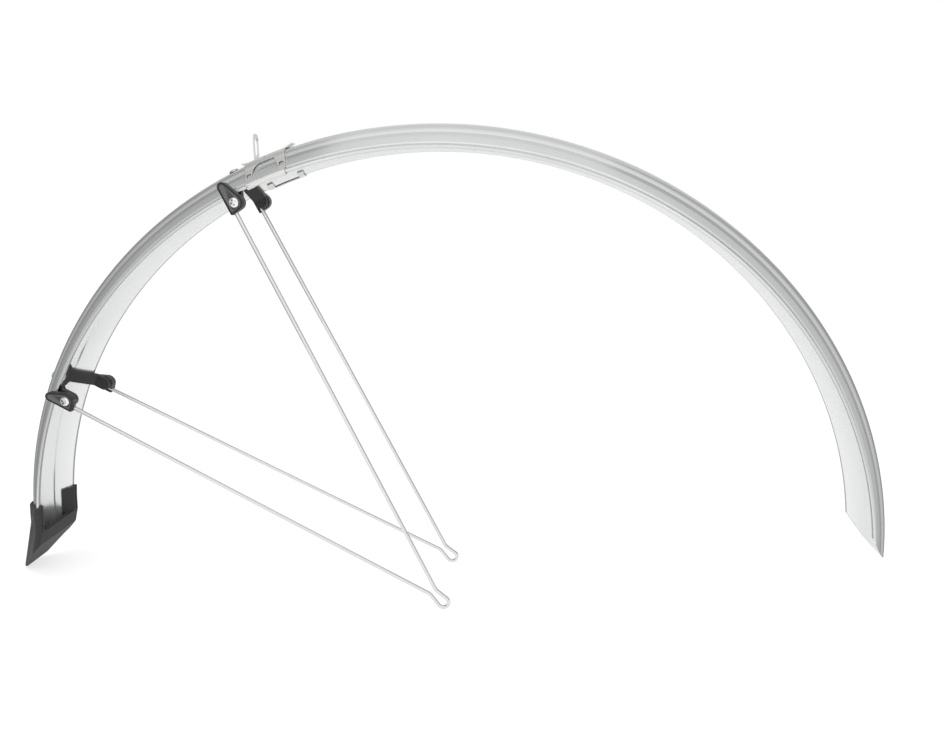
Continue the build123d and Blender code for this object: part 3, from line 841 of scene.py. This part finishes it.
def clamp_seat(side, place, height=0.0):
    """Matrix of a clamp: x out along the wire, z out of the bicycle, at a height above the wire's centre."""
    flip = Vector((1, 1 if side == "right" else -1, 1))
    along = (Vector(CLAMP_LINES[place]) * flip).normalized()
    outward = (Vector(CLAMP_OUTWARD) * flip).normalized()
    origin = AXLE + Vector(CLAMP_PLACES[place]) * flip * MM + outward * height
    return seat_matrix(origin, along, outward)


def rivet_seat(place, radius):
    """Matrix of a rivet: z out of the wheel."""
    turn = math.radians(RIVET_ANGLES[place])
    outward = Vector((math.cos(turn), 0, math.sin(turn)))
    return seat_matrix(AXLE + outward * radius, Vector((math.sin(turn), 0, -math.cos(turn))), outward)


def seat_matrix(origin, along, outward):
    columns = (along, outward.cross(along), outward)
    matrix = Matrix(columns).transposed().to_4x4()
    matrix.translation = origin
    return matrix


def seat_points(name, matrices):
    """Loose points that carry each seat's turn."""
    mesh = drawn_mesh(name, [matrix.translation for matrix in matrices])
    turns = mesh.attributes.new("turn", "FLOAT_VECTOR", "POINT")
    for item, matrix in zip(turns.data, matrices):
        item.vector = matrix.to_euler()
    return mesh


def head_outline(diameter, height, rounding, steps=8):
    """Half section of a domed head: from its rim's foot up to the middle."""
    radius = diameter / 2
    points = [(radius, 0.0)]
    for step in range(steps + 1):
        turn = math.pi / 2 * step / steps
        points.append((radius - rounding * (1 - math.cos(turn)), height - rounding * (1 - math.sin(turn))))
    flat = radius - rounding
    points += [(flat * 0.5, height + 0.03 * rounding), (0.0, height + 0.04 * rounding)]
    return points


def set_out(name, tree, seats, outline, values):
    """Copies of one fastener on its seats, as one plain object."""
    points = [(radius, height, 0) for radius, height in outline]
    path = [(index, index + 1) for index in range(len(points) - 1)]
    holder = new_object(name + " outline", drawn_mesh(name + " outline", points, path))
    fasteners = grow(name, seat_points(name + " seats", seats), tree, {"Outline": holder, **values})
    bpy.data.objects.remove(holder)
    return fasteners


def cap_outline(sizes, inset):
    """Teardrop outline, drawn in by an inset: the hull of three circles."""
    point, corner = sizes.point_radius, sizes.corner_radius
    circles = (
        (Vector((0, 0)), sizes.round_radius, 28),
        (Vector((sizes.cap_length - sizes.cap_exit - point, sizes.cap_side - point)), point, 16),
        (Vector((corner - sizes.cap_exit, sizes.cap_side - corner)), corner, 8),
    )
    tangents = []
    for index, (centre, radius, _) in enumerate(circles):
        other, other_radius, _ = circles[(index + 1) % 3]
        way = other - centre
        tangents.append(math.atan2(way.y, way.x) - math.acos((radius - other_radius) / way.length))
    outline = []
    for index, (centre, radius, steps) in enumerate(circles):
        start = tangents[index - 1]
        sweep = (tangents[index] - start) % (2 * math.pi)
        left = radius - inset
        for step in range(steps + 1):
            turn = start + sweep * step / steps
            normal = Vector((math.cos(turn), math.sin(turn)))
            if left < 0:
                middle = start + sweep / 2
                normal = Vector((math.cos(middle), math.sin(middle))) / math.cos(sweep / 2)
            outline.append(centre + normal * left)
    return outline


def cap_mesh(sizes):
    """Cap about its screw: rounded outer edge, rim, sunk panel; the panel is marked for the finish."""
    top = sizes.cap_seat + sizes.cap_thickness
    panel = top - sizes.cap_recess
    soft = 0.22 * MM
    wall = sizes.cap_rim + 0.06 * MM
    steps = 5
    layers = [(soft, sizes.cap_seat), (0.0, sizes.cap_seat + soft)]
    for step in range(steps + 1):
        turn = math.pi / 2 * step / steps
        layers.append((sizes.cap_edge * (1 - math.cos(turn)), top - sizes.cap_edge * (1 - math.sin(turn))))
    layers += [
        (sizes.cap_rim - soft, top),
        (sizes.cap_rim - soft * 0.3, top - soft * 0.3),
        (sizes.cap_rim, top - soft),
        (wall, panel + soft),
        (wall + soft, panel),
    ]
    shell = bmesh.new()
    panel_mark = shell.verts.layers.float.new("panel")
    rings = []
    for inset, height in layers:
        ring = [shell.verts.new((point.x, point.y, height)) for point in cap_outline(sizes, inset)]
        for corner in ring:
            corner[panel_mark] = 1.0 if height <= panel + soft and inset > sizes.cap_edge else 0.0
        rings.append(ring)
    bridge_rings(shell, rings)
    bmesh.ops.remove_doubles(shell, verts=shell.verts, dist=1e-7)
    return shell_mesh("cap", shell)


def cap_cutter(sizes):
    """Room for the wire and the screw in a cap."""
    shell = bmesh.new()
    gap = 0.1 * MM
    radius = sizes.wire_diameter / 2 + gap
    below = sizes.cap_seat * 1.4
    turns = [math.pi * step / 12 for step in range(13)]
    arch = [(radius * math.cos(turn), radius * math.sin(turn)) for turn in turns]
    arch += [(-radius, below), (radius, below)]
    ends = [
        [shell.verts.new((along, sizes.wire_beside + across, up)) for across, up in arch]
        for along in (-sizes.cap_exit - 1.0 * MM, sizes.wire_tail + gap)
    ]
    half = sizes.screw_bore / 2
    turns = [math.pi * step / 16 for step in range(32)]
    holes = [
        [shell.verts.new((math.cos(turn) * half, math.sin(turn) * half, up)) for turn in turns]
        for up in (sizes.cap_seat - gap, sizes.cap_thickness)
    ]
    bridge_rings(shell, ends)
    bridge_rings(shell, holes)
    return shell_mesh("cap cutter", shell)


def finished_cap(sizes, side, place):
    """Cap with its wire groove and screw hole cut, set at its clamp."""
    seed = new_object("cap seed", cap_mesh(sizes))
    tool = new_object("cap tool", cap_cutter(sizes))
    cut_away(seed, tool, self_crossing=True)
    cap = settled(f"cap_{side}_{place}", seed)
    bpy.data.objects.remove(tool)
    cover(cap, "cap plastic")
    cap.data.transform(clamp_seat("right", place))
    if side == "left":
        cap.data.transform(Matrix.Scale(-1, 4, (0, 1, 0)))
        cap.data.flip_normals()
    cap.data.set_sharp_from_angle(angle=CRISP_FOLD)
    return cap


# Operators


class MUDGUARD_OT_blade(bpy.types.Operator):
    """Sweep the silver blade round the wheel"""

    bl_idname = "mudguard.blade"
    bl_label = "Blade"

    def execute(self, context):
        sizes = context.scene.mudguard_blade
        values = {name.replace("_", " ").capitalize(): getattr(sizes, name) for name in BLADE_INPUTS}
        values |= {"Rings": BLADE_RINGS, "Finish": finish_named("silver plastic")}
        section = section_mesh("blade section", blade_profile(sizes))
        blade = grow("silver_blade", section, blade_tree(), values)
        stand_for(blade, FIXED, "silver_plastic", "blade")
        return {"FINISHED"}


class MUDGUARD_OT_flap(bpy.types.Operator):
    """Round the edges of the mud flap and sink the pocket for the blade's end"""

    bl_idname = "mudguard.flap"
    bl_label = "Mud flap"

    def execute(self, context):
        pocket = flap_pocket(context.scene.mudguard_blade)
        softness = {"voxel": 0.3 * MM, "passes": 12, "share_left": 0.28}
        flap = softened("mud_flap", "soft_flap", "black rubber", pocket=pocket, **softness)
        bpy.data.objects.remove(pocket)
        stand_for(flap, FIXED, "black_rubber", "mud_flap")
        return {"FINISHED"}


class MUDGUARD_OT_stays(bpy.types.Operator):
    """Finish the two wire stays"""

    bl_idname = "mudguard.stays"
    bl_label = "Wire stays"

    def execute(self, context):
        for side in SIDES:
            dress_node(f"{side}_stay", "stay steel")
        return {"FINISHED"}


class MUDGUARD_OT_brackets(bpy.types.Operator):
    """Round the edges of the two stay brackets"""

    bl_idname = "mudguard.brackets"
    bl_label = "Stay brackets"

    def execute(self, context):
        for place in PLACES:
            node = f"{place}_bracket"
            softness = {"voxel": 0.32 * MM, "passes": 5, "share_left": 0.4}
            bracket = softened(node, f"soft_bracket_{place}", "black plastic", **softness)
            stand_for(bracket, FIXED, "black_plastic", node)
        return {"FINISHED"}


class MUDGUARD_OT_caps(bpy.types.Operator):
    """Mould the four teardrop stay caps"""

    bl_idname = "mudguard.caps"
    bl_label = "Stay caps"

    def execute(self, context):
        for side, place in CLAMPS:
            cap = finished_cap(context.scene.mudguard_clamps, side, place)
            stand_for(cap, FIXED, "cap_plastic", f"{side}_{place}_stay_cap")
        return {"FINISHED"}


class MUDGUARD_OT_fasteners(bpy.types.Operator):
    """Turn the clamp screws and the bracket rivets, and finish the nuts"""

    bl_idname = "mudguard.fasteners"
    bl_label = "Screws, rivets and nuts"

    def execute(self, context):
        sizes = context.scene.mudguard_clamps
        tree = fastener_tree()
        panel = sizes.cap_seat + sizes.cap_thickness - sizes.cap_recess
        shank = sizes.screw_diameter / 2
        outline = [(0.0, -sizes.screw_length), (shank, -sizes.screw_length), (shank, 0.0)]
        outline += head_outline(sizes.head_diameter, sizes.head_height, sizes.head_round)
        values = {
            "Head height": sizes.head_height,
            "Cross size": sizes.recess_size,
            "Cross slot": sizes.recess_slot,
            "Cross depth": sizes.recess_depth,
            "Finish": finish_named("screw steel"),
        }
        seats = [clamp_seat(side, place, panel) for side, place in CLAMPS]
        screws = set_out("clamp_screws", tree, seats, outline, values)
        nodes = [f"{side}_{place}_clamp_screw" for side, place in CLAMPS]
        stand_for(screws, FIXED, "screw_steel", *nodes)

        stem = sizes.rivet_diameter / 2
        head = sizes.rivet_head / 2
        tail = -sizes.rivet_grip - sizes.rivet_height
        bevel = 0.4 * MM
        outline = [(0.0, tail), (head - bevel, tail), (head, tail + bevel), (head, -sizes.rivet_grip)]
        outline += [(stem, -sizes.rivet_grip), (stem, 0.0)]
        outline += head_outline(sizes.rivet_head, sizes.rivet_height, sizes.rivet_round)
        values = {"Cross depth": 0.0, "Finish": finish_named("rivet aluminium")}
        seats = [rivet_seat(place, sizes.rivet_seat) for place in PLACES]
        rivets = set_out("bracket_rivets", tree, seats, outline, values)
        stand_for(rivets, FIXED, "rivet_metal", *(f"{place}_bracket_rivet" for place in PLACES))
        for side, place in CLAMPS:
            dress_node(f"{side}_{place}_clamp_nut", "screw steel")
        return {"FINISHED"}


class MUDGUARD_OT_bridge(bpy.types.Operator):
    """Round the cut edges of the sliding bridge"""

    bl_idname = "mudguard.bridge"
    bl_label = "Sliding bridge"

    def execute(self, context):
        softness = {"voxel": 0.2 * MM, "passes": 3, "share_left": 0.3}
        bridge = softened("bridge", "sheet_bridge", "bridge steel", **softness)
        stand_for(bridge, SLIDING, "bridge_steel", "bridge")
        return {"FINISHED"}


# Stage, in metres

FLOOR_REACH = 20.0
FLOOR_GAP = 0.0005
CARD_RISE = 0.7
ROOF_REACH = 0.75
CARD_REACH = (-1.8, 1.4)
# Grey cards: where along the depth, from front to back, and how bright there.
LEFT_TONES = (
    *((-1.8, 1.25), (-0.75, 1.20), (-0.6, 0.75), (-0.10, 0.56)),
    *((0.00, 0.40), (0.06, 0.13), (0.20, 0.17), (0.4, 0.60)),
)
RIGHT_TONES = (
    *((-1.8, 1.25), (-0.75, 1.20), (-0.6, 0.95), (-0.10, 0.80)),
    *((0.00, 0.62), (0.05, 0.20), (0.14, 0.22), (0.4, 0.65)),
)
ROOF_TONES = ((-0.6, 1.10), (-0.25, 1.00), (0.0, 0.72), (0.3, 0.60), (0.8, 0.74), (1.4, 0.80))
SIDE_CARDS = (("left card", -0.47, LEFT_TONES), ("right card", 0.47, RIGHT_TONES))
KEY_PLACE = Vector((-0.25, -0.35, 1.3))
KEY_WIDTH = 1.4
FILL_PLACE = Vector((0.5, -1.6, 0.5))
FILL_WIDTH = 1.2
CAMERA_PLACE = AXLE + Vector((0.055424, -0.49640, 0.314137))
# Swing, tilt and roll of the camera, in degrees.
CAMERA_TURNS = ((3.83, "Z"), (90 - 15.66, "X"), (1.66, "Z"))


def seen_rays(tree):
    """1 for rays from the camera, and for those by way of metal or glass."""
    path = tree.nodes.new("ShaderNodeLightPath").outputs
    seen = calc(tree, "MAXIMUM", path["Is Camera Ray"], path["Is Glossy Ray"])
    return calc(tree, "MAXIMUM", seen, path["Is Transmission Ray"])


def white_world(ambient):
    world = bpy.data.worlds.new("white studio")
    world.use_nodes = True
    tree = world.node_tree
    sky = tree.nodes["Background"].inputs
    sky["Color"].default_value = (1, 1, 1, 1)
    tree.links.new(between(tree, seen_rays(tree), ambient, 1.0), sky["Strength"])
    bpy.context.scene.world = world


def floor_material(glow):
    paper, tree, shader = blank_material(
        "white paper",
        Base_Color=(0.45, 0.45, 0.45, 1),
        Roughness=0.9,
        Specular_IOR_Level=0.0,
        Emission_Color=(1, 1, 1, 1),
    )
    tree.links.new(times(tree, seen_rays(tree), glow), shader["Emission Strength"])
    return paper


def flat_panel(name, corners, finish):
    panel = new_object(name, drawn_mesh(name, corners, faces=[tuple(range(len(corners)))]))
    panel.data.materials.append(finish)
    return panel


def grey_card(name, corners, card_tones, strength):
    """Card with a soft gradient beside the object, as a photographer sets one; only its reflection shows."""
    board, tree, shader = blank_material(
        name, Base_Color=(0, 0, 0, 1), Specular_IOR_Level=0.0, Emission_Strength=strength
    )
    depth = split(tree, own_place(tree))["Y"]
    front, back = CARD_REACH
    share = calc(tree, "DIVIDE", calc(tree, "SUBTRACT", depth, front), back - front)
    ramp = add_node(tree, "ShaderNodeValToRGB", Fac=share)
    steps = ramp.node.color_ramp.elements
    while len(steps) < len(card_tones):
        steps.new(0.5)
    for step, (y, tone) in zip(steps, card_tones):
        step.position = (y - front) / (back - front)
        step.color = (tone, tone, tone, 1)
    tree.links.new(ramp, shader["Emission Color"])
    low_front, low_back, high_front, high_back = corners
    card = flat_panel(name, (low_front, low_back, high_back, high_front), board)
    card.visible_camera = False
    card.visible_diffuse = False
    card.visible_shadow = False


def soft_light(name, place, target, width, power):
    lamp = bpy.data.lights.new(name, "AREA")
    lamp.shape = "SQUARE"
    lamp.size = width
    lamp.energy = power
    holder = new_object(name, lamp)
    holder.location = place
    holder.visible_glossy = False
    holder.rotation_euler = (target - place).to_track_quat("-Z", "Y").to_euler()


def photo_camera(focal_length):
    lens = bpy.data.cameras.new("photo camera")
    lens.sensor_fit = "HORIZONTAL"
    lens.sensor_width = 36.0
    lens.lens = focal_length
    lens.clip_start = 0.01
    camera = new_object("photo camera", lens)
    pose = Matrix.Translation(CAMERA_PLACE)
    for degrees, axis in CAMERA_TURNS:
        pose = pose @ Matrix.Rotation(math.radians(degrees), 4, axis)
    camera.matrix_world = pose
    bpy.context.scene.camera = camera


class MUDGUARD_OT_stage(bpy.types.Operator):
    """Set the floor, the lights, the grey cards and the camera"""

    bl_idname = "mudguard.stage"
    bl_label = "Stage"

    def execute(self, context):
        stage = context.scene.mudguard_stage
        context.scene.view_settings.view_transform = "Standard"
        low, high = (Vector(corner) for corner in CAD_BOX)
        middle = (low + high) / 2
        ground = low.z - FLOOR_GAP
        quarters = ((-1, -1), (1, -1), (1, 1), (-1, 1))
        corners = [(x * FLOOR_REACH, y * FLOOR_REACH, ground) for x, y in quarters]
        flat_panel("floor", corners, floor_material(stage.floor_glow))
        white_world(stage.ambient)
        ceiling = high.z + CARD_RISE
        for name, away, card_tones in SIDE_CARDS:
            wall = [(middle.x + away, y, z) for z in (ground, ceiling) for y in CARD_REACH]
            grey_card(name, wall, card_tones, stage.card_tone)
        roof = [(middle.x + away, y, ceiling) for away in (-ROOF_REACH, ROOF_REACH) for y in CARD_REACH]
        grey_card("overhead card", roof, ROOF_TONES, stage.card_tone)
        soft_light("overhead light", middle + KEY_PLACE, middle, KEY_WIDTH, stage.key_power)
        soft_light("front light", middle + FILL_PLACE, middle, FILL_WIDTH, stage.fill_power)
        photo_camera(stage.focal_length)
        return {"FINISHED"}


class MUDGUARD_PT_sidebar(bpy.types.Panel):
    bl_idname = "MUDGUARD_PT_sidebar"
    bl_label = "Mudguard"
    bl_space_type = "VIEW_3D"
    bl_region_type = "UI"
    bl_category = "Mudguard"

    def draw(self, context):
        for operator in OPERATORS:
            self.layout.operator(operator.bl_idname)
        for place in GROUPS:
            group = getattr(context.scene, place)
            column = self.layout.column(align=True)
            for name in group.__annotations__:
                column.prop(group, name)


OPERATORS = (
    MUDGUARD_OT_blade,
    MUDGUARD_OT_flap,
    MUDGUARD_OT_stays,
    MUDGUARD_OT_brackets,
    MUDGUARD_OT_caps,
    MUDGUARD_OT_fasteners,
    MUDGUARD_OT_bridge,
    MUDGUARD_OT_stage,
)
GROUPS = {
    "mudguard_blade": BladeSizes,
    "mudguard_clamps": ClampSizes,
    "mudguard_colours": FinishColours,
    "mudguard_stage": StageLevels,
}
CLASSES = (*GROUPS.values(), *OPERATORS, MUDGUARD_PT_sidebar)


def register():
    for item in CLASSES:
        bpy.utils.register_class(item)
    for place, group in GROUPS.items():
        setattr(bpy.types.Scene, place, bpy.props.PointerProperty(type=group))


def unregister():
    for place in GROUPS:
        delattr(bpy.types.Scene, place)
    for item in reversed(CLASSES):
        bpy.utils.unregister_class(item)


def main():
    register()
    bpy.ops.mudguard.blade()
    bpy.ops.mudguard.flap()
    bpy.ops.mudguard.stays()
    bpy.ops.mudguard.brackets()
    bpy.ops.mudguard.caps()
    bpy.ops.mudguard.fasteners()
    bpy.ops.mudguard.bridge()
    bpy.ops.mudguard.stage()


if __name__ == "__main__":
    main()
